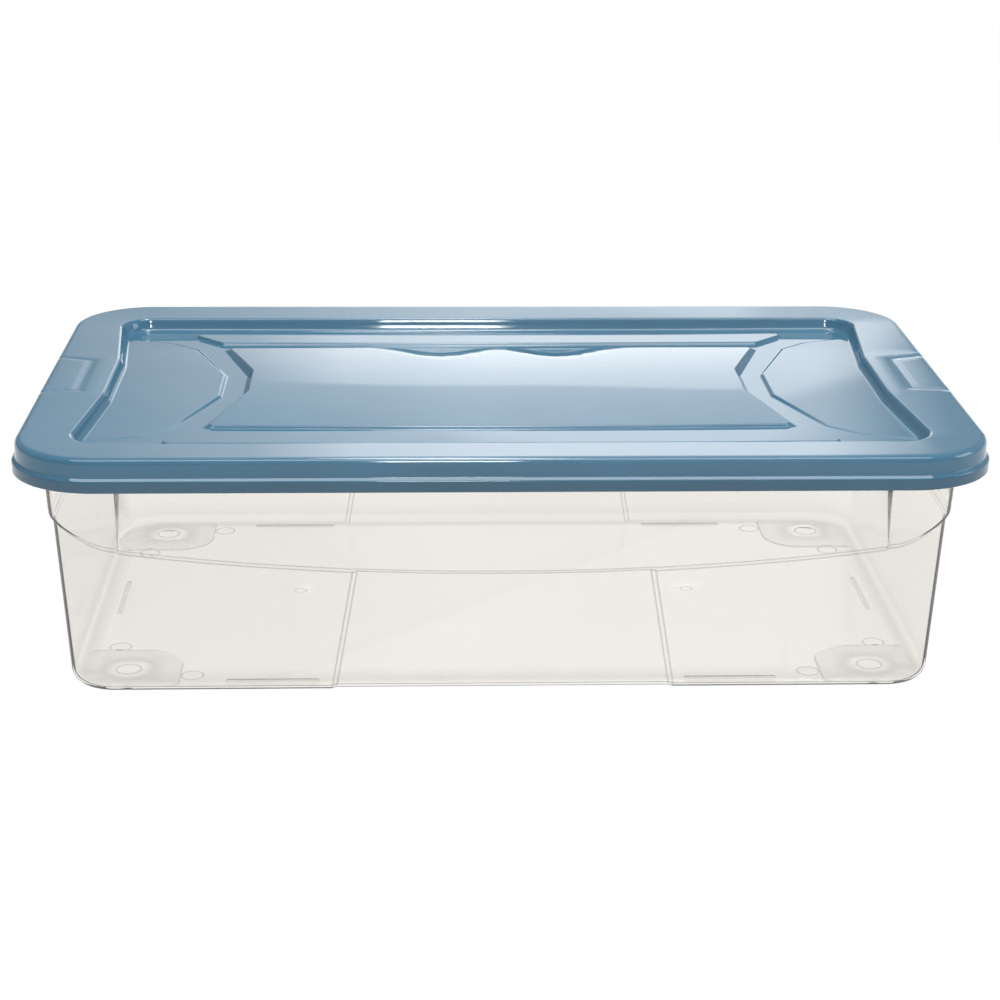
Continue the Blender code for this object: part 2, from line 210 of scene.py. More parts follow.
class MeshData:
    """Collects vertices, their normals and faces, and turns them into a smooth mesh."""

    def __init__(self):
        self.points = []
        self.normals = []
        self.haze_and_shade = []
        self.faces = []

    def add(self, points, normals=None, haze_and_shade=None):
        """New vertices. The value given with them is read by the materials: how hazy the tub looks
        and where darker lines of painted shade lie on it, and where the lid's band has painted
        shade."""
        first = len(self.points)
        self.haze_and_shade += [0.0] * len(points) if haze_and_shade is None else list(haze_and_shade)
        self.points += [tuple(p) for p in points]
        if normals is None:
            normals = [(0.0, 0.0, 0.0)] * len(points)
        self.normals += [tuple(n) for n in normals]
        return np.arange(first, first + len(points))

    def wall(self, lower, upper):
        """Quads between two rings, facing outwards when upper is above lower."""
        count = len(lower)
        for i in range(count):
            j = (i + 1) % count
            self.faces.append((lower[i], lower[j], upper[j], upper[i]))

    def field(self, ring, height, lines, extra, upwards=True, haze_and_shade=None):
        """Fills a ring with a height field. The ring's own vertices are already there."""
        flat = np.array([self.points[i][:2] for i in ring])
        coords, triangles, origin = triangulate(flat, lines, extra)
        index = np.zeros(len(coords), int)
        new = origin < 0
        index[~new] = ring[origin[~new]]
        places = np.column_stack((coords[new], height(coords[new])))
        normals = gradient_normals(height, coords[new])
        haze_shade_values = haze_and_shade(coords[new]) if haze_and_shade else None
        index[new] = self.add(places, normals if upwards else -normals, haze_shade_values)
        for triangle in triangles:
            face = tuple(index[list(triangle)])
            self.faces.append(face if upwards else face[::-1])

    def build(self, name):
        mesh = bpy.data.meshes.new(name)
        scaled = [(x * MM, y * MM, z * MM) for x, y, z in self.points]
        mesh.from_pydata(scaled, [], [tuple(int(i) for i in f) for f in self.faces])
        mesh.shade_smooth()
        mesh.normals_split_custom_set_from_vertices(self.normals)
        mesh.attributes.new("haze_and_shade", "FLOAT", "POINT").data.foreach_set("value", self.haze_and_shade)
        mesh.validate(clean_customdata=False)
        item = bpy.data.objects.new(name, mesh)
        bpy.context.scene.collection.objects.link(item)
        return item


def ring_normals(lower, upper, ring):
    """Normals of a ring from the slope between the rings on each side of it."""
    along = np.roll(ring, -1, axis=0) - np.roll(ring, 1, axis=0)
    normals = np.cross(along, upper - lower)
    return normals / np.linalg.norm(normals, axis=1)[:, None]


# ---------------------------------------------------------------- lid

LID_X, LID_Y, LID_CORNER = 302.3, 186.5, 53.5
LID_TOP = 164.3
LID_FILLET = 4.3
LID_WALL = 2.0
LID_UNDER = LID_TOP - 2.15
LAND_RISE = 1.1
RAISED_HEIGHT = 0.13
GROOVE_DEPTH = 0.5
# where the basin's wall begins and ends inside its outline, and the rounding at foot and top
BASIN_WALL = (-3.1, -0.1, 2.0, 1.2)
BASIN_FLOOR = 154.8
FLOOR_SAG = 0.5
SAG_HALF_X = 215.0
CROWN_HALF_Y = 95.0
# how far the fields rise; the crown adds the second number in the middle of the panel
PLATE_RISE = (1.9, 3.3)
FAN_RISE = (0.7, 0.8)
STRIP_RISE = 2.3
# two hollows in the plate's back part: their places, width, slope, reach and greatest depth
HOLLOW_MIDDLE, HOLLOW_OFFSET, HOLLOW_WIDTH = 5.0, 42.0, 36.0
HOLLOW_SLOPE, HOLLOW_BEGIN, HOLLOW_REACH, HOLLOW_DEPTH = 0.057, 93.0, 34.0, 1.8

lid_outline = rectangle(LID_X, LID_Y, LID_CORNER)
BASIN_QUARTER = ((259.3, 42.0), (270.0, 151.0))
basin_outline = Outline(four_fold(BASIN_QUARTER), [60.0, 21.0, 21.0, 60.0] * 2)
PLATE_QUARTER = ((166.0, 25.0), (187.0, 92.8), (60.0, 95.3))
PLATE_FOOT_QUARTER = ((169.7, 24.6), (191.2, 94.4), (60.0, 96.9))
PLATE_RADII = [2.0, 3.0, 80.0, 80.0, 3.0, 2.0] * 2
plate_outline = Outline(four_fold(PLATE_QUARTER), PLATE_RADII)
plate_foot = Outline(four_fold(PLATE_FOOT_QUARTER), PLATE_RADII)


def mirrored(corners, sx, sy):
    """Corners mirrored in X or Y, kept anticlockwise."""
    moved = [(sx * x, sy * y) for x, y in corners]
    return moved if sx * sy > 0 else moved[::-1]


def at_both_ends(corners, radii):
    """An outline at the right end and its mirror image at the left one. The radii keep their
    order, so at the left they meet the corners from the last one on."""
    return [Outline(mirrored(corners, sx, 1), radii) for sx in (1, -1)]


STRIP = ((-193.0, 106.5), (193.0, 106.5), (217.5, 131.0), (-217.5, 131.0))
strip_outlines = [Outline(mirrored(STRIP, 1, sy), [4.0] * 4) for sy in (1, -1)]
FAN_HALF = ((186.0, 25.0), (211.0, 93.0), (230.0, 110.0), (262.0, 121.0), (290.0, 126.0))
FAN = list(FAN_HALF[::-1]) + [(x, -y) for x, y in FAN_HALF]
FAN_RADII = [3.0, 30.0, 12.0, 6.0, 6.0]
fan_outlines = at_both_ends(FAN, FAN_RADII + FAN_RADII[::-1])
field_outlines = [plate_outline] + strip_outlines + fan_outlines

GROOVE = ((272.8, 39.5), (272.8, -39.5), (330.0, -53.0), (330.0, 53.0))
GROOVE_INNER = ((281.5, 33.5), (281.5, -33.5), (330.0, -45.0), (330.0, 45.0))
RAISED = ((262.0, 51.0), (262.0, -51.0), (330.0, -51.0), (330.0, 51.0))
groove_outlines = at_both_ends(GROOVE, [4.0, 4.0, 1.0, 1.0])
groove_inner_outlines = at_both_ends(GROOVE_INNER, [3.0, 3.0, 1.0, 1.0])
raised_outlines = at_both_ends(RAISED, [4.0] * 4)


def land_height(points):
    """The border, which rises a little outwards, with the end areas that stand proud and
    the groove in each of them."""
    out = np.clip(basin_outline.distance(points), 0.0, None)
    edge = -lid_outline.distance(points)
    share = out / (out + np.clip(edge - LID_FILLET, 0.0, None) + 0.01)
    height = LID_TOP - LAND_RISE * (1.0 - share)
    for raised, outer, inner in zip(raised_outlines, groove_outlines, groove_inner_outlines):
        height += RAISED_HEIGHT * ramp(-raised.distance(points), -1.2, 3.6, 1.4)
        bank = ramp(-outer.distance(points), -0.2, 3.4, 0.9)
        bank -= ramp(-inner.distance(points), -3.4, 0.2, 0.9)
        height -= GROOVE_DEPTH * bank * ramp(edge, 0.6, 3.5, 0.5)
    return height


def panel_height(points):
    """The sunk panel: a nearly flat floor with the crowned raised fields on it."""
    x, y = points[:, 0], points[:, 1]
    crown = np.clip(1.0 - (y / CROWN_HALF_Y) ** 2, 0.0, 1.0)
    sag = FLOOR_SAG * np.clip(1.0 - (x / SAG_HALF_X) ** 2, 0.0, 1.0)
    sag = sag * ramp(np.abs(y), 20.0, 82.0, 12.0)
    waves = 0.05 * np.sin(x / 31.0 + 0.6) * np.sin(y / 26.0 + 1.1)
    waves += 0.04 * np.sin(x / 57.0 - y / 39.0)
    height = BASIN_FLOOR - sag + waves
    inner = plate_outline.distance(points)
    run = inner - plate_foot.distance(points)
    plate = 1.0 - ramp(inner / run, 0.0, 1.0, 0.5 / run)
    lobe = (np.abs(x - HOLLOW_MIDDLE) - HOLLOW_OFFSET) / HOLLOW_WIDTH
    lobe = np.exp(-(lobe**2))
    hollow = HOLLOW_SLOPE * lobe * bent(y - HOLLOW_BEGIN + HOLLOW_REACH * lobe, 4.0)
    low, more = PLATE_RISE
    height += (low + more * crown - np.minimum(hollow, HOLLOW_DEPTH)) * plate
    for outline in strip_outlines:
        height += STRIP_RISE * (1.0 - ramp(outline.distance(points), 0.0, 1.8, 0.5))
    low, more = FAN_RISE
    for outline in fan_outlines:
        height += (low + more * crown) * (1.0 - ramp(outline.distance(points), 0.0, 2.4, 0.5))
    return height


def lid_height(points):
    """The lid's upper side: the panel, its wall, the border and the fillet round the edge."""
    wall = ramp(basin_outline.distance(points), *BASIN_WALL)
    low = panel_height(points)
    height = low + (land_height(points) - low) * wall
    edge = np.clip(-lid_outline.distance(points), 0.02, LID_FILLET)
    return height - LID_FILLET + np.sqrt(LID_FILLET**2 - (LID_FILLET - edge) ** 2)


def kept_line(outline, grow, spacing, keep):
    """A mesh line beside an outline, and which of its points are kept."""
    path = outline.path(grow, spacing)
    return path, keep(path)


def everywhere(path):
    return np.ones(len(path), bool)


def lid_lines(spacing):
    """The rings and field edges that the lid's top mesh follows."""
    lines = []
    for edge in (0.9, 1.6, 2.4, 3.3, 4.3, 6.5):
        lines.append(kept_line(lid_outline, -edge, spacing, everywhere))
    for grow in (-5.6, -5.1, -4.3, -3.5, -2.7, -1.9, -1.1, -0.5, -0.1, 0.3, 0.7, 1.6):
        lines.append(kept_line(basin_outline, grow, spacing, everywhere))

    def in_panel(path):
        return basin_outline.distance(path) < -6.2

    for outline in strip_outlines + fan_outlines:
        for grow in (-1.2, -0.5, 0.0, 0.5, 1.1, 1.7, 2.2, 2.9):
            lines.append(kept_line(outline, grow, spacing, in_panel))
    for outline in (plate_outline, plate_foot):
        for grow in (-1.2, -0.5, 0.0, 0.5, 1.2):
            lines.append(kept_line(outline, grow, spacing, in_panel))

    def on_land(path):
        clear = basin_outline.distance(path) > 2.2
        return clear & (lid_outline.distance(path) < -4.8)

    for outer, inner, raised in zip(groove_outlines, groove_inner_outlines, raised_outlines):
        for grow in (0.7, 0.0, -0.9, -2.2, -3.2, -3.9):
            lines.append(kept_line(outer, grow, GROOVE_SPACING, on_land))
        for grow in (3.9, 3.2, 0.9, 0.0, -0.7):
            lines.append(kept_line(inner, grow, GROOVE_SPACING, on_land))
        for grow in (1.1, 0.2, -1.0, -2.6, -3.5):
            lines.append(kept_line(raised, grow, GROOVE_SPACING, on_land))
    return lines


def clear_points(points, outlines, clearance, outer, margin):
    """The points well inside outer and not close to any of the outlines."""
    keep = outer.distance(points) < -margin
    for outline in outlines:
        keep &= np.abs(outline.distance(points)) > clearance
    return points[keep]


# spacing of points along the lid's mesh lines: above, round the end grooves and below
LID_SPACING, GROOVE_SPACING, UNDER_SPACING = 5.0, 4.0, 8.0
# the skirt as (outwards, height), from under the top fillet down to the ledge, then the wider
# band at its foot and round its lower edge, then up inside
SKIRT_SIDE = [(0.05, 157.0), (0.13, 153.2), (0.16, 152.75), (0.26, 152.48), (0.5, 152.25)]
SKIRT_SIDE += [(1.1, 151.72), (1.7, 151.15), (2.1, 150.72)]
SKIRT_BAND = [(2.3, 150.4), (2.35, 149.9), (2.36, 149.0), (2.3, 146.5), (2.36, 144.4)]
SKIRT_BAND += [(2.25, 143.8), (1.85, 143.5), (0.95, 143.5), (0.5, 143.75), (0.36, 144.3)]
SKIRT_INSIDE = [(0.34, 149.0), (0.2, 149.8), (-0.6, 150.3), (-1.6, 150.7), (-1.9, 151.4)]
SKIRT_INSIDE += [(-2.0, 154.0), (-2.0, 159.8), (-2.6, 161.4), (-4.3, LID_UNDER)]


def fillet_place(degrees):
    """A place on the fillet between the lid's top and its skirt, as (outwards, height)."""
    angle = math.radians(degrees)
    outwards = -LID_FILLET * (1 - math.sin(angle))
    return outwards, LID_TOP - LID_FILLET * (1 - math.cos(angle))


def build_lid():
    data = MeshData()
    side = [fillet_place(degrees) for degrees in (70, 80, 90)] + SKIRT_SIDE
    skirt = side + SKIRT_BAND + SKIRT_INSIDE
    # the band's rings are marked for painted shade, which darkens them in the blue plastic
    band = [0.0] * len(side) + [1.0] * len(SKIRT_BAND) + [0.0] * len(SKIRT_INSIDE)
    rings = []
    for grow, height in skirt:
        path = lid_outline.path(grow, LID_SPACING)
        rings.append(np.column_stack((path, np.full(len(path), height))))
    edge = rings[0][:, :2]
    rings[0][:, 2] = lid_height(edge)
    indices = []
    for i, ring in enumerate(rings):
        above = rings[max(i - 1, 0)]
        below = rings[min(i + 1, len(rings) - 1)]
        normals = ring_normals(below, above, ring)
        if i == 0:
            normals = gradient_normals(lid_height, edge)
        indices.append(data.add(ring, normals, [band[i]] * len(ring)))
    for upper, lower in zip(indices, indices[1:]):
        data.wall(lower, upper)
    edges = [basin_outline] + field_outlines
    points = clear_points(grid(300.0, 184.0, 9.0), edges, 4.5, lid_outline, 8.0)
    data.field(indices[0], lid_height, lid_lines(LID_SPACING), points)

    def underside(points):
        low = panel_height(points) - LID_WALL
        high = np.full(len(points), LID_UNDER)
        return low + (high - low) * ramp(basin_outline.distance(points), -0.8, 1.7, 0.8)

    def under_panel(path):
        return basin_outline.distance(path) < -3.5

    lines = []
    for grow in (-2.4, -1.6, -0.8, 0.4, 1.7, 2.5):
        lines.append(kept_line(basin_outline, grow, UNDER_SPACING, everywhere))
    for outline in field_outlines:
        for grow in (-0.5, 0.3, 1.7, 2.5):
            lines.append(kept_line(outline, grow, UNDER_SPACING, under_panel))
    points = clear_points(grid(296.0, 180.0, 20.0), edges, 6.0, lid_outline, 12.0)
    data.field(indices[-1], underside, lines, points, upwards=False)
    return data.build("lid_shell")


# ---------------------------------------------------------------- tub

TUB_X, TUB_Y, TUB_CORNER = 275.1, 159.6, 29.4
WALL_SLOPE = 0.075
CORNER_SLOPE = 0.153
TUB_WALL = 2.0
BASE_FILLET = 8.0
STEP_OUT = 2.45
STEP_END = 110.0
# height of the step along a long side: at the middle, and how it climbs with x**2 and x**4
STEP_SMILE = (83.3, 2.39e-4, 5.4e-10)
STEP_CORNER_POWER = 4.5
# the shallow panel in each long side: half width at the foot, how much narrower it gets per
# millimetre of height, depth and half width of its edge
PANEL_BOTTOM = 107.5
PANEL_LEAN = 0.175
PANEL_DEPTH = 2.2
PANEL_RUN = 1.8
# where the panel's edge is taken to be at the step, and where its stations run along the rim
PANEL_SIDE = 90.0
RIM_PANEL = 93.0
RIM_X, RIM_Y, RIM_CORNER = 299.4, 183.6, 50.8
RIM_TOP = 162.0
LIP_BOTTOM = 141.5
GRIP_BOTTOM = 116.5
GRIP_HALF = 105.2  # half width of the hand grips
# rise of the hand grip's rounded lower corner, by the distance from the tub's middle
GRIP_CORNER = {99: 1.2, 101.5: 3.4, 103.2: 6.2, 104.4: 10.0}
CORNER_STATIONS = 20
# places of the tub's stations: along an end, along a long side, across the panel's edge and
# along the panel
END_PLACES = (0, 15, 30, 45, 60, 75, 88, 96, 99, 101.5, 103.2, 104.4, 105.2, 106, 113, 121)
LONG_PLACES = (238, 226, 212, 198, 184, 170, 156, 142, 128, 118)
PANEL_PLACES = (1.5, 1.15, 0.9, 0.65, 0.5, 0.35, 0.1, -0.15, -0.5)
MIDDLE_PLACES = (84, 70, 56, 42, 28, 14, 0)


def tub_quarter():
    """Stations of the tub's rings in one quarter: a kind and a place along it. A place is a
    coordinate, an angle round the corner or a share of the way across the panel's edge."""
    steps = range(CORNER_STATIONS + 1)
    stations = [("end", y) for y in END_PLACES]
    stations += [("corner", math.radians(90.0 * i / CORNER_STATIONS)) for i in steps]
    stations += [("long", x) for x in LONG_PLACES]
    stations += [("panel", s) for s in PANEL_PLACES]
    return stations + [("long", x) for x in MIDDLE_PLACES]


QUARTER = tub_quarter()


def quarter_ring(point_of):
    """A closed ring from the places of one quarter, mirrored three times."""
    first = np.array([point_of(*station) for station in QUARTER])
    flip_x = first[:-1][::-1] * (-1, 1, 1)
    both = first[1:] * (-1, -1, 1)
    flip_y = first[1:-1][::-1] * (1, -1, 1)
    return np.concatenate((first, flip_x, both, flip_y))


def corner_place(kind, value, half_x, half_y, radius):
    if kind == "end":
        return half_x, value
    if kind == "corner":
        return (
            half_x - radius + radius * math.cos(value),
            half_y - radius + radius * math.sin(value),
        )
    return value, half_y


def long_step(x):
    low, square, fourth = STEP_SMILE
    return low + square * x**2 + fourth * x**4


def step_height(kind, value):
    if kind == "end":
        return STEP_END
    if kind == "corner":
        low = long_step(TUB_X - TUB_CORNER)
        return STEP_END + (low - STEP_END) * math.sin(value) ** STEP_CORNER_POWER
    if kind == "panel":
        return long_step(PANEL_SIDE)
    return long_step(value)


def wall_place(kind, value, height, grow, sunk=1.0):
    """A point on the tub's wall. The panel edge's stations slope with the panel."""
    half_x = TUB_X + WALL_SLOPE * height + grow
    half_y = TUB_Y + WALL_SLOPE * height + grow
    radius = TUB_CORNER + CORNER_SLOPE * height + grow
    if kind == "panel":
        edge = PANEL_BOTTOM - PANEL_LEAN * min(height, long_step(PANEL_SIDE))
        x = edge + (value - 0.5) * PANEL_RUN * 2.0
        depth = 1.0 - float(ramp(np.array([value]), 0.15, 0.85, 0.15)[0])
        return x, half_y - PANEL_DEPTH * depth * sunk, height
    x, y = corner_place(kind, value, half_x, half_y, radius)
    if kind == "long" and value < PANEL_SIDE:
        y -= PANEL_DEPTH * sunk
    return x, y, height


def rim_place(kind, value, height, grow):
    """A point on the outside of the rim's flange and lip."""
    if kind == "panel":
        kind, value = "long", RIM_PANEL + (value - 0.5) * PANEL_RUN * 2.0
    x, y = corner_place(kind, value, RIM_X + grow, RIM_Y + grow, RIM_CORNER + grow)
    return x, y, height


def lip_height(kind, value):
    """The bottom of the turned-down lip, deeper at the ends, where it is a hand grip."""
    if kind == "end" and value < GRIP_HALF:
        return GRIP_BOTTOM + GRIP_CORNER.get(value, 0.0)
    return LIP_BOTTOM


# painted shade lines along the panel's edges, and milky values of the rim, the lip and the inside
# of the rim
PANEL_SHADE, RIM_MILK, LIP_MILK, FLANGE_MILK = 0.42, 0.2, 0.3, 0.3
# the step as (rise, outwards, share of the panel's depth that is left, painted shade and haze
# along its edges)
STEP = ((-2.4, 0.0, 1.0, 0.0), (-1.5, 0.15, 0.95, 0.55), (-0.8, 0.65, 0.7, 0.0))
STEP += ((0.0, 1.3, 0.4, 0.0), (0.8, 1.95, 0.12, 0.0), (1.5, 2.32, 0.0, 0.5))
STEP += ((2.2, 2.45, 0.0, 0.0),)
# the fillet round the floor, outside and inside, as (degrees, value of painted shade and haze)
# low on the outside, the darker values paint a contact shadow along the bottom edge
FOOT_OUTSIDE = ((20, 0.45), (34, 0.3), (48, 0.05), (62, 0.0), (76, 0.0), (90, 0.08))
FOOT_INSIDE = ((90, 0.08), (76, 0.0), (62, 0.0), (48, 0.0), (34, 0.0), (20, 0.1))
# shares of the way up the wall from that fillet to the step
WALL_SHARES = (0.12, 0.3, 0.5, 0.75, 1.0)


def panel_shade_lines(kind, value):
    """Lines of painted shade, with a little haze, along both edges of the wall's shallow panel."""
    return PANEL_SHADE if kind == "panel" and value in (0.9, 0.1) else 0.0


def tub_rings():
    """Rings from the floor's underside, up outside and down inside, with haze and painted shade.
    """
    rings = []

    def add(place, haze_and_shade=0.0, edged=False):
        haze_shade_values = [max(haze_and_shade, panel_shade_lines(k, v) if edged else 0.0) for k, v in QUARTER]
        values = haze_shade_values + haze_shade_values[:-1][::-1] + haze_shade_values[1:] + haze_shade_values[1:-1][::-1]
        rings.append((quarter_ring(place), values))

    def wall(height, grow, sunk=1.0, haze_and_shade=0.0):
        add(lambda k, v: wall_place(k, v, height, grow, sunk), haze_and_shade, sunk > 0.5)

    def at_step(rise, grow, sunk, haze_and_shade):
        add(lambda k, v: wall_place(k, v, step_height(k, v) + rise, grow, sunk), haze_and_shade, sunk > 0.5)

    def between(share, grow):
        def place(k, v):
            top = step_height(k, v) - 4.0
            return wall_place(k, v, BASE_FILLET + (top - BASE_FILLET) * share, grow)

        add(place, 0.0, True)

    def rim(height, grow):
        add(lambda k, v: rim_place(k, v, height, grow), RIM_MILK)

    def lip(rise, grow):
        add(lambda k, v: rim_place(k, v, lip_height(k, v) + rise, grow), LIP_MILK)

    def flange(height, grow):
        add(lambda k, v: wall_place(k, v, height, grow, 0.0), FLANGE_MILK)

    for degrees, haze_and_shade in FOOT_OUTSIDE:
        angle = math.radians(degrees)
        wall(BASE_FILLET * (1 - math.cos(angle)), -BASE_FILLET * (1 - math.sin(angle)), 1.0, haze_and_shade)
    for share in WALL_SHARES:
        between(share, 0.0)
    for rise, grow, sunk, haze_and_shade in STEP:
        at_step(rise, grow, sunk, haze_and_shade)
    for height in (118.0, 130.0, 145.0, 156.5, 159.2):
        wall(height, STEP_OUT, 0.0)
    flange(160.0, STEP_OUT + 0.9)
    for height, grow in ((160.0, -2.9), (159.2, -2.1), (150.0, -2.0)):
        rim(height, grow)
    for rise, grow in ((0.5, -2.0), (0.1, -1.6), (0.0, -1.0), (0.1, -0.4), (0.5, 0.0)):
        lip(rise, grow)
    for height, grow in ((150.0, 0.0), (160.6, 0.0), (161.6, -0.4), (RIM_TOP, -1.4)):
        rim(height, grow)
    flange(RIM_TOP, STEP_OUT - TUB_WALL + 1.2)
    flange(161.5, STEP_OUT - TUB_WALL + 0.3)
    for height in (160.6, 145.0, 130.0, 118.0):
        wall(height, STEP_OUT - TUB_WALL, 0.0)
    for rise, grow, sunk, haze_and_shade in reversed(STEP):
        at_step(rise - 0.6, grow - TUB_WALL, sunk, 0.6 * haze_and_shade)
    for share in reversed(WALL_SHARES):
        between(share, -TUB_WALL)
    inner = BASE_FILLET - TUB_WALL
    for degrees, haze_and_shade in FOOT_INSIDE:
        angle = math.radians(degrees)
        height = TUB_WALL + inner * (1 - math.cos(angle))
        wall(height, -TUB_WALL - inner * (1 - math.sin(angle)), 1.0, haze_and_shade)
    return rings


# places in the quarter where x and y are positive, which the other three mirror; only the
# gate marks are two
PAD_X, PAD_Y, PAD_CORNER = 206.0, 94.5, 25.0
DISH_X, DISH_Y, DISH_RADIUS, PAD_RING = 240.0, 127.5, 16.0, 8.0
SMALL_RINGS, SMALL_RADIUS = ((250.0, 88.5), (198.5, 136.0)), 7.0
# ribs as (x, y, half length along x, half length along y)
LONG_RIB = (146.5, 145.5, 29.5, 1.5)
END_RIB = (258.0, 0.0, 1.5, 29.5)
GATE_X, GATE_Y, GATE_RADIUS = 136.0, 12.0, 4.0
# how far the floor's parts stand up, and how deep the dishes below are
PAD_RISE, RIB_RISE, SMALL_RISE, PAD_RING_RISE, GATE_RISE = 1.0, 1.2, 0.5, 0.35, 0.3
DISH_DEPTH = 1.3
PAD_FADE = (2.0, 5.0, 0.8)  # where the pads and end ribs run out before the wall


def pad_outline(sx, sy):
    """The foot pad in one corner, open towards the walls."""
    corners = ((PAD_X, PAD_Y), (300.0, PAD_Y), (300.0, 190.0), (PAD_X, 190.0))
    radii = [PAD_CORNER, 1.0, 1.0, 1.0]
    return Outline(mirrored(corners, sx, sy), radii if sx * sy > 0 else radii[::-1])


pad_outlines = [pad_outline(sx, sy) for sx in (1, -1) for sy in (1, -1)]


def circle_gap(points, x, y, radius):
    """Distance outside the nearest of four mirrored circles."""
    away = np.hypot(np.abs(points[:, 0]) - x, np.abs(points[:, 1]) - y)
    return away - radius


def bar_gap(points, x, y, half_x, half_y):
    """Distance outside the nearest of four mirrored bars, negative inside them."""
    dx = np.abs(np.abs(points[:, 0]) - x) - half_x
    dy = np.abs(np.abs(points[:, 1]) - y) - half_y
    outside = np.hypot(np.maximum(dx, 0.0), np.maximum(dy, 0.0))
    return outside + np.minimum(np.maximum(dx, dy), 0.0)


floor_edge = rectangle(TUB_X, TUB_Y, TUB_CORNER)


def pad_share(points):
    """1 on the foot pads and 0 beside them, with a sloped edge."""
    share = np.zeros(len(points))
    for outline in pad_outlines:
        share = np.maximum(share, 1.0 - ramp(outline.distance(points), -0.9, 0.3, 0.35))
    return share


def floor_top(points):
    """The tub's floor inside: pads, ribs and small rings."""
    inset = -floor_edge.distance(points) - TUB_WALL
    inner = BASE_FILLET - TUB_WALL
    reach = np.clip(inner - inset, 0.0, inner * 0.999)
    height = TUB_WALL + inner - np.sqrt(inner**2 - reach**2)
    fade = ramp(inset, *PAD_FADE)
    height += PAD_RISE * pad_share(points) * fade
    height += RIB_RISE * (1.0 - ramp(bar_gap(points, *LONG_RIB), -0.4, 0.3, 0.2))
    height += RIB_RISE * (1.0 - ramp(bar_gap(points, *END_RIB), -0.4, 0.3, 0.2)) * fade
    for x, y in SMALL_RINGS:
        ring = np.abs(circle_gap(points, x, y, SMALL_RADIUS))
        height += SMALL_RISE * (1.0 - ramp(ring, 0.3, 0.9, 0.2))
    ring = np.abs(circle_gap(points, DISH_X, DISH_Y, PAD_RING))
    height += PAD_RING_RISE * (1.0 - ramp(ring, 0.4, 1.4, 0.3))
    return height + GATE_RISE * (1.0 - ramp(np.abs(gate_gap(points)), 0.2, 0.7, 0.15))


def gate_gap(points):
    """Distance outside the two small marks where the plastic was let into the mould."""
    return np.hypot(np.abs(points[:, 0]) - GATE_X, points[:, 1] - GATE_Y) - GATE_RADIUS


def floor_haze_and_shade(points):
    """Hazier foot pads, and darker lines of painted shade round the floor's pads, ribs, rings and
    marks.
    """
    inset = -floor_edge.distance(points) - TUB_WALL
    haze_and_shade = 0.24 * pad_share(points) * ramp(inset, *PAD_FADE)
    haze_and_shade *= np.clip(circle_gap(points, DISH_X, DISH_Y, 14.0) / 3.0, 0.0, 1.0)
    lines = [(0.7, 0.9, outline.distance(points) + 0.3) for outline in pad_outlines]
    ribs = np.minimum(bar_gap(points, *LONG_RIB), bar_gap(points, *END_RIB))
    lines.append((0.4, 0.7, np.maximum(ribs, 0.0)))
    lines += [(0.8, 0.9, circle_gap(points, x, y, SMALL_RADIUS)) for x, y in SMALL_RINGS]
    lines.append((0.7, 1.2, circle_gap(points, DISH_X, DISH_Y, PAD_RING)))
    lines.append((0.55, 1.6, circle_gap(points, DISH_X, DISH_Y, DISH_RADIUS)))
    lines.append((0.45, 0.7, gate_gap(points)))
    for value, half_width, gap in lines:
        haze_and_shade = np.maximum(haze_and_shade, value * line_share(gap, half_width))
    return haze_and_shade


def line_share(gap, half_width):
    """1 on a line, falling to 0 at half_width from it."""
    return np.clip(1.0 - np.abs(gap) / half_width, 0.0, 1.0)


def floor_bottom(points):
    """The underside: flat, with a round dish under each pad."""
    inset = -floor_edge.distance(points)
    reach = np.clip(BASE_FILLET - inset, 0.0, BASE_FILLET * 0.999)
    height = BASE_FILLET - np.sqrt(BASE_FILLET**2 - reach**2)
    dish = circle_gap(points, DISH_X, DISH_Y, DISH_RADIUS)
    return height + DISH_DEPTH * (1.0 - ramp(dish, -8.5, 0.0, 1.5))


def circle_path(x, y, radius, steps):
    angles = np.arange(steps) * 2 * math.pi / steps
    return np.stack((x + radius * np.cos(angles), y + radius * np.sin(angles)), 1)


def rib_paths(rib, sx, sy):
    """Lines along the edge of a rib in one quarter, inside, on and outside it."""
    x, y, half_x, half_y = rib
    paths = []
    for grow in (-0.6, 0.0, 0.6):
        left, right = sx * x - (half_x + grow), sx * x + (half_x + grow)
        front, back = sy * y - (half_y + grow), sy * y + (half_y + grow)
        corners = [(right, front), (right, back), (left, back), (left, front)]
        paths.append(Outline(corners, [0.3] * 4).path(0.0, 10.0))
    return paths


def upper_quarter_paths(sx, sy):
    """Lines round the small parts on the floor's upper side, in one quarter."""
    paths = []
    if sy > 0:
        paths += [circle_path(sx * GATE_X, GATE_Y, r, 28) for r in (3.2, 3.7, 4.0, 4.3, 4.8)]
    for x, y in SMALL_RINGS:
        paths += [circle_path(sx * x, sy * y, r, 32) for r in (5.9, 6.5, 7.0, 7.5, 8.1)]
    return paths + rib_paths(LONG_RIB, sx, sy)


def floor_lines(top):
    """Lines that the mesh of the floor's upper or lower side follows."""
    dish_radii = (6.0, 6.7, 7.3, 8.0, 9.5, 16.0) if top else (6.0, 7.5, 9.0, 14.5, 16.0, 17.5)
    paths = []
    for sx in (1, -1):
        for sy in (1, -1):
            paths += [circle_path(sx * DISH_X, sy * DISH_Y, r, 40) for r in dish_radii]
            if top:
                paths += upper_quarter_paths(sx, sy)
        if top:
            paths += rib_paths(END_RIB, sx, 1)
    if top:
        for outline in pad_outlines:
            paths += [outline.path(grow, 5.0) for grow in (-1.4, -1.0, -0.3, 0.4, 0.9)]
    return [(path, floor_edge.distance(path) < 1.0 - BASE_FILLET) for path in paths]


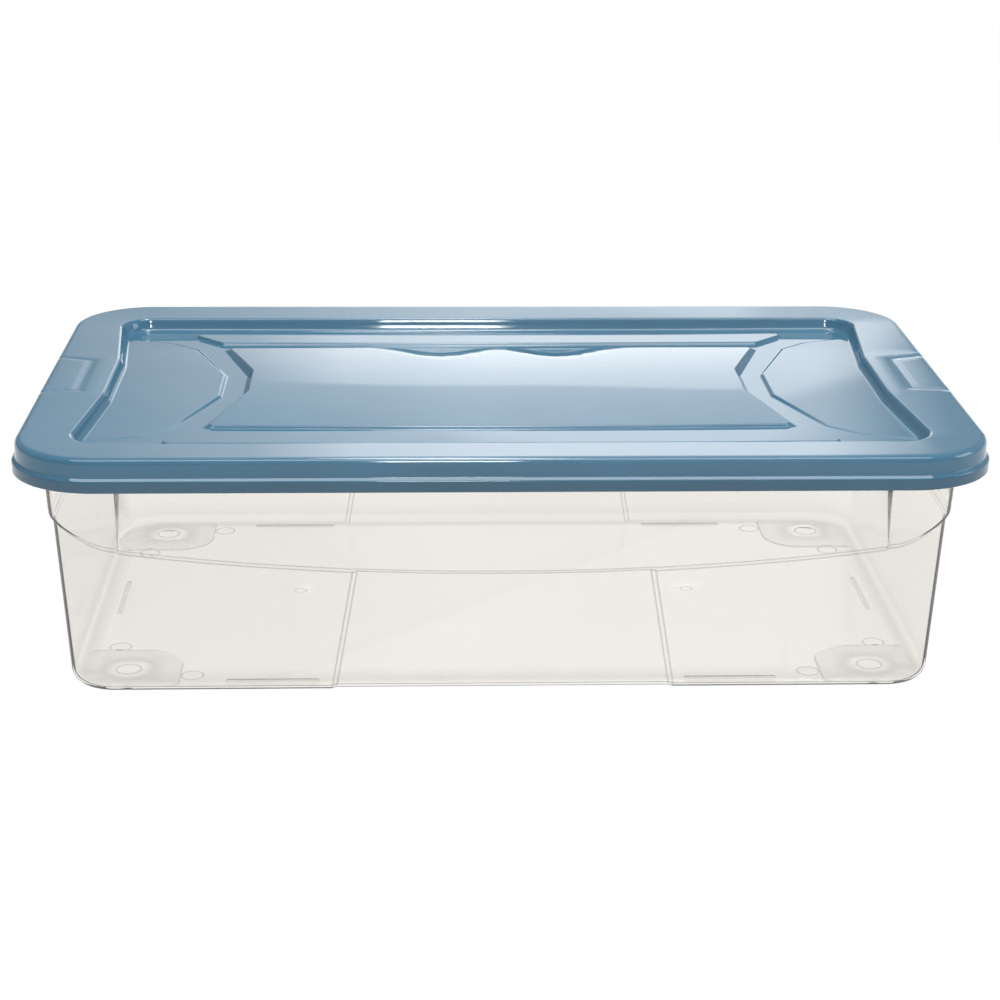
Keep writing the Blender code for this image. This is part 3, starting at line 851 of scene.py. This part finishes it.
def build_tub():
    data = MeshData()
    indices = [data.add(ring, None, haze_and_shade) for ring, haze_and_shade in tub_rings()]
    for lower, upper in zip(indices, indices[1:]):
        data.wall(lower, upper)
    extra = clear_points(grid(262.0, 148.0, 16.0), pad_outlines, 2.0, floor_edge, 11.0)
    data.field(indices[0], floor_bottom, floor_lines(False), extra, upwards=False)
    data.field(indices[-1], floor_top, floor_lines(True), extra, True, floor_haze_and_shade)
    return data.build("tub_shell")


lid = build_lid()
tub = build_tub()


# ---------------------------------------------------------------- materials

WHITE = (1.0, 1.0, 1.0, 1.0)
BUMP_DISTANCE = 0.0002

# the blue plastic: its two close colours, how dark the painted shade makes the lid's band, and its
# range of roughness
BLUE_DARK, BLUE_LIGHT = (0.052, 0.144, 0.225), (0.058, 0.157, 0.243)
BAND_SHADE_VALUE = 0.72
BLUE_ROUGHNESS = (0.035, 0.06)
BLUE_GRAIN, BLUE_GRAIN_STRENGTH = 900.0, 0.012
BLUE_IOR = 1.5

# the clear plastic: light that passes, straight and scattered
CLEAR_IOR = 1.03
# the plain tint, and the darker tint for the painted shade lines, the milky rim and grazing views
CLEAR_TINT, MILKY_SHADE_TINT = (0.970, 0.962, 0.949), (0.56, 0.54, 0.53)
CLEAR_ROUGHNESS = (0.0, 0.02)
GRAZING_POWER, GRAZING_MILK = 6.0, 0.45
HAZE_COLOUR = (0.98, 0.94, 0.88, 1.0)
HAZE_SHARE = (0.03, 0.06)
MILK_HAZE = 0.12
SHADOW_TINT = (0.97, 0.965, 0.96, 1.0)
# its gloss, only on the faces turned outwards and at half the full reflection
GLOSS_IOR, GLOSS_SHARE = 1.49, 0.5
GLOSS_ROUGHNESS = (0.05, 0.10)
CLEAR_GRAIN, CLEAR_GRAIN_STRENGTH = 700.0, 0.02


def new_material(name):
    material = bpy.data.materials.new(name)
    material.use_nodes = True
    material.node_tree.nodes.clear()
    return material, material.node_tree.nodes, material.node_tree.links


def noise(nodes, links, scale, detail):
    place = nodes.new("ShaderNodeTexCoord")
    texture = nodes.new("ShaderNodeTexNoise")
    texture.inputs["Scale"].default_value = scale
    texture.inputs["Detail"].default_value = detail
    links.new(place.outputs["Object"], texture.inputs["Vector"])
    return texture.outputs["Fac"]


def map_range(nodes, links, value, low, high, to_low, to_high):
    node = nodes.new("ShaderNodeMapRange")
    node.inputs["From Min"].default_value = low
    node.inputs["From Max"].default_value = high
    node.inputs["To Min"].default_value = to_low
    node.inputs["To Max"].default_value = to_high
    links.new(value, node.inputs["Value"])
    return node.outputs["Result"]


def math_node(nodes, links, operation, *values, clamp=True):
    """Sums and products are kept between 0 and 1, unless clamp is off."""
    node = nodes.new("ShaderNodeMath")
    node.operation = operation
    node.use_clamp = clamp and operation in {"MULTIPLY", "ADD"}
    for socket, value in zip(node.inputs, values):
        if isinstance(value, float):
            socket.default_value = value
        else:
            links.new(value, socket)
    return node.outputs["Value"]


def mix_colour(nodes, links, factor, first, second):
    mix = nodes.new("ShaderNodeMix")
    mix.data_type = "RGBA"
    mix.inputs["A"].default_value = (*first, 1.0)
    mix.inputs["B"].default_value = (*second, 1.0)
    links.new(factor, mix.inputs["Factor"])
    return mix.outputs["Result"]


def mix_shader(nodes, links, factor, first, second):
    mix = nodes.new("ShaderNodeMixShader")
    links.new(factor, mix.inputs["Fac"])
    links.new(first, mix.inputs[1])
    links.new(second, mix.inputs[2])
    return mix.outputs["Shader"]


def haze_and_shade_value(nodes):
    """Each vertex's value: the tub's haze and its painted shade lines, or the lid band's painted
    shade.
    """
    node = nodes.new("ShaderNodeAttribute")
    node.attribute_name = "haze_and_shade"
    return node.outputs["Fac"]


def fine_grain(nodes, links, scale, strength):
    """Normals of a surface with a very fine grain."""
    bump = nodes.new("ShaderNodeBump")
    bump.inputs["Strength"].default_value = strength
    bump.inputs["Distance"].default_value = BUMP_DISTANCE
    links.new(noise(nodes, links, scale, 2.0), bump.inputs["Height"])
    return bump.outputs["Normal"]


def blue_plastic():
    """Opaque glossy plastic, a little mottled, with painted shade darkening the lid's band."""
    material, nodes, links = new_material("blue_polypropylene")
    shader = nodes.new("ShaderNodeBsdfPrincipled")
    output = nodes.new("ShaderNodeOutputMaterial")
    links.new(shader.outputs["BSDF"], output.inputs["Surface"])
    mottle = noise(nodes, links, 14.0, 3.0)
    share = map_range(nodes, links, mottle, 0.35, 0.65, 0.0, 1.0)
    # painted shade: the band round the foot of the lid's skirt is drawn darker
    band_shade = nodes.new("ShaderNodeHueSaturation")
    band_shade.inputs["Value"].default_value = BAND_SHADE_VALUE
    links.new(haze_and_shade_value(nodes), band_shade.inputs["Fac"])
    links.new(mix_colour(nodes, links, share, BLUE_DARK, BLUE_LIGHT), band_shade.inputs["Color"])
    links.new(band_shade.outputs["Color"], shader.inputs["Base Color"])
    gloss = map_range(nodes, links, noise(nodes, links, 45.0, 2.0), 0.3, 0.7, *BLUE_ROUGHNESS)
    links.new(gloss, shader.inputs["Roughness"])
    grain = fine_grain(nodes, links, BLUE_GRAIN, BLUE_GRAIN_STRENGTH)
    links.new(grain, shader.inputs["Normal"])
    shader.inputs["IOR"].default_value = BLUE_IOR
    return material


def clear_plastic():
    """Thin clear plastic that hardly bends light, with a gloss, a haze and darker lines of painted
    shade.
    """
    material, nodes, links = new_material("clear_polypropylene")
    output = nodes.new("ShaderNodeOutputMaterial")
    line_shade_and_haze = haze_and_shade_value(nodes)
    unevenness = noise(nodes, links, 30.0, 2.0)

    through = nodes.new("ShaderNodeBsdfRefraction")
    through.inputs["IOR"].default_value = CLEAR_IOR
    roughness = map_range(nodes, links, unevenness, 0.3, 0.7, *CLEAR_ROUGHNESS)
    links.new(roughness, through.inputs["Roughness"])
    edge_on = nodes.new("ShaderNodeLayerWeight")
    edge_on.inputs["Blend"].default_value = 0.5
    grazing = math_node(nodes, links, "POWER", edge_on.outputs["Facing"], GRAZING_POWER)
    depth = math_node(nodes, links, "MULTIPLY", grazing, GRAZING_MILK)
    # painted shade: the marked lines and the bottom edge are drawn towards the darker tint
    depth = math_node(nodes, links, "ADD", line_shade_and_haze, depth)
    tint = mix_colour(nodes, links, depth, CLEAR_TINT, MILKY_SHADE_TINT)
    links.new(tint, through.inputs["Color"])

    haze = nodes.new("ShaderNodeBsdfTranslucent")
    haze.inputs["Color"].default_value = HAZE_COLOUR
    cloud = map_range(nodes, links, noise(nodes, links, 6.0, 3.0), 0.3, 0.7, *HAZE_SHARE)
    milk_haze = math_node(nodes, links, "MULTIPLY", line_shade_and_haze, MILK_HAZE)
    hazy = math_node(nodes, links, "ADD", cloud, milk_haze)
    body = mix_shader(nodes, links, hazy, through.outputs["BSDF"], haze.outputs["BSDF"])

    gloss = nodes.new("ShaderNodeBsdfGlossy")
    gloss.inputs["Color"].default_value = WHITE
    roughness = map_range(nodes, links, unevenness, 0.3, 0.7, *GLOSS_ROUGHNESS)
    links.new(roughness, gloss.inputs["Roughness"])
    grain = fine_grain(nodes, links, CLEAR_GRAIN, CLEAR_GRAIN_STRENGTH)
    links.new(grain, gloss.inputs["Normal"])
    fresnel = nodes.new("ShaderNodeFresnel")
    fresnel.inputs["IOR"].default_value = GLOSS_IOR
    geometry = nodes.new("ShaderNodeNewGeometry")
    outer = math_node(nodes, links, "SUBTRACT", 1.0, geometry.outputs["Backfacing"])
    outer = math_node(nodes, links, "MULTIPLY", outer, GLOSS_SHARE)
    shine = math_node(nodes, links, "MULTIPLY", fresnel.outputs["Fac"], outer)
    coated = mix_shader(nodes, links, shine, body, gloss.outputs["BSDF"])

    clear = nodes.new("ShaderNodeBsdfTransparent")
    clear.inputs["Color"].default_value = SHADOW_TINT
    path = nodes.new("ShaderNodeLightPath")
    kinds = path.outputs["Is Shadow Ray"], path.outputs["Is Diffuse Ray"]
    lit = math_node(nodes, links, "MAXIMUM", *kinds)
    surface = mix_shader(nodes, links, lit, coated, clear.outputs["BSDF"])
    links.new(surface, output.inputs["Surface"])
    return material


lid.data.materials.append(blue_plastic())
tub.data.materials.append(clear_plastic())
for piece, node, slot in ((lid, "lid", "blue_plastic"), (tub, "tub", "clear_plastic")):
    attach(piece, node)
    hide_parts(node)


# ---------------------------------------------------------------- studio


FLOOR_SIZE, FLOOR_HEIGHT = 40.0, -0.0006
FLOOR_MATT, FLOOR_GLOW = (0.05, 0.05, 0.05, 1.0), 0.975
# softboxes: name, place, target, width, length and radiance
SOFTBOXES = (
    ("top_box", (0.0, -0.55, 1.7), (0.0, 0.0, 0.1), 2.0, 0.5, 5.5),
    ("top_strip", (-0.02, 0.1, 1.65), (0.0, 0.0, 0.1), 0.2, 0.95, 14.0),
    ("key_box", (-0.01, -1.55, 1.45), (0.0, 0.0, 0.15), 0.2, 0.5, 30.0),
    ("right_box", (2.2, -0.3, 0.9), (0.0, 0.0, 0.1), 1.0, 1.0, 3.5),
)


def floor():
    """A floor that glows nearly white and is shaded only a little by what stands on it."""
    bpy.ops.mesh.primitive_plane_add(size=FLOOR_SIZE, location=(0.0, 0.0, FLOOR_HEIGHT))
    item = bpy.context.object
    item.name = "studio_floor"
    material, nodes, links = new_material("studio_floor")
    output = nodes.new("ShaderNodeOutputMaterial")
    matt = nodes.new("ShaderNodeBsdfDiffuse")
    matt.inputs["Color"].default_value = FLOOR_MATT
    glow = nodes.new("ShaderNodeEmission")
    glow.inputs["Color"].default_value = WHITE
    glow.inputs["Strength"].default_value = FLOOR_GLOW
    both = nodes.new("ShaderNodeAddShader")
    links.new(matt.outputs["BSDF"], both.inputs[0])
    links.new(glow.outputs["Emission"], both.inputs[1])
    links.new(both.outputs["Shader"], output.inputs["Surface"])
    item.data.materials.append(material)


def area_light(name, place, target, size_x, size_y, radiance):
    """A softbox of a given radiance, facing its target."""
    light = bpy.data.lights.new(name, "AREA")
    light.shape = "RECTANGLE"
    light.size = size_x
    light.size_y = size_y
    light.energy = radiance * math.pi * size_x * size_y
    item = bpy.data.objects.new(name, light)
    bpy.context.scene.collection.objects.link(item)
    item.location = place
    item.rotation_euler = (Vector(target) - Vector(place)).to_track_quat("-Z", "Y").to_euler()
    item.visible_camera = False


# the room's light by direction, from the left (0) to the right (1)
ROOM_STOPS = ((0.0, 0.3), (0.34, 0.25), (0.42, 0.5), (0.452, 0.95), (0.476, 1.2))
ROOM_STOPS += ((0.514, 1.75), (0.588, 1.5), (0.606, 0.45), (0.68, 0.3), (1.0, 0.6))
STOP_SHARE = 0.5  # stops are colours, which end at 1, so they hold half the value
# the pale screen's left, right and upper edges as slopes seen from the box, and its light
SCREEN_LEFT = (-0.075, -0.03)
SCREEN_RIGHT = (0.46, 0.48)
SCREEN_TOP, SCREEN_SLANT = (0.296, 0.302), -0.14
SCREEN_LIGHT = 0.65


def sky():
    """A plain room: darker to the left and in front, with a pale screen low at the back."""
    world = bpy.data.worlds.new("studio")
    bpy.context.scene.world = world
    world.use_nodes = True
    nodes, links = world.node_tree.nodes, world.node_tree.links
    place = nodes.new("ShaderNodeTexCoord")
    split = nodes.new("ShaderNodeSeparateXYZ")
    links.new(place.outputs["Generated"], split.inputs["Vector"])
    x, y, z = split.outputs["X"], split.outputs["Y"], split.outputs["Z"]
    band = nodes.new("ShaderNodeValToRGB")
    stops = band.color_ramp.elements
    for position, _ in ROOM_STOPS[1:-1]:
        stops.new(position)
    for stop, (position, value) in zip(stops, ROOM_STOPS):
        stop.position = position
        stop.color = (*[STOP_SHARE * value] * 3, 1.0)
    links.new(map_range(nodes, links, x, -1.0, 1.0, 0.0, 1.0), band.inputs["Fac"])
    front = map_range(nodes, links, y, -0.4, 0.2, 0.9, 2.0)
    room = math_node(nodes, links, "MULTIPLY", band.outputs["Color"], front, clamp=False)
    ahead = math_node(nodes, links, "MAXIMUM", y, 0.05)
    side = math_node(nodes, links, "DIVIDE", x, ahead)
    left = map_range(nodes, links, side, *SCREEN_LEFT, 0.0, 1.0)
    upwards = math_node(nodes, links, "MAXIMUM", z, 0.0)
    reach = math_node(nodes, links, "ADD", side, upwards)
    right = map_range(nodes, links, reach, *SCREEN_RIGHT, 1.0, 0.0)
    slant = math_node(nodes, links, "MULTIPLY_ADD", side, SCREEN_SLANT, z)
    below = map_range(nodes, links, slant, *SCREEN_TOP, 1.0, 0.0)
    width = math_node(nodes, links, "MULTIPLY", left, right)
    screen = math_node(nodes, links, "MULTIPLY", width, below)
    light = math_node(nodes, links, "MULTIPLY_ADD", screen, SCREEN_LIGHT, room)
    path = nodes.new("ShaderNodeLightPath")
    seen = nodes.new("ShaderNodeMix")
    links.new(path.outputs["Is Camera Ray"], seen.inputs["Factor"])
    links.new(light, seen.inputs["A"])
    seen.inputs["B"].default_value = 1.0
    links.new(seen.outputs["Result"], nodes["Background"].inputs["Strength"])
    nodes["Background"].inputs["Color"].default_value = WHITE


LENS = 81.58
CAMERA_PLACE = (-0.05518, -1.4789, 0.58642)
CAMERA_ANGLES = (-2.2635, 19.127, -0.4959)  # yaw, pitch down and roll, in degrees


def camera():
    data = bpy.data.cameras.new("camera")
    data.sensor_width = 36.0
    data.lens = LENS
    item = bpy.data.objects.new("camera", data)
    bpy.context.scene.collection.objects.link(item)
    yaw, pitch, roll = (math.radians(a) for a in CAMERA_ANGLES)
    turn = Matrix.Rotation(yaw, 3, "Z") @ Matrix.Rotation(-pitch, 3, "X")
    turn = turn @ Matrix.Rotation(roll, 3, "Y")
    axes = turn @ Matrix.Rotation(math.radians(90.0), 3, "X")
    item.matrix_world = Matrix.Translation(CAMERA_PLACE) @ axes.to_4x4()
    bpy.context.scene.camera = item


floor()
sky()
for softbox in SOFTBOXES:
    area_light(*softbox)
camera()
bpy.context.scene.view_settings.view_transform = "Standard"
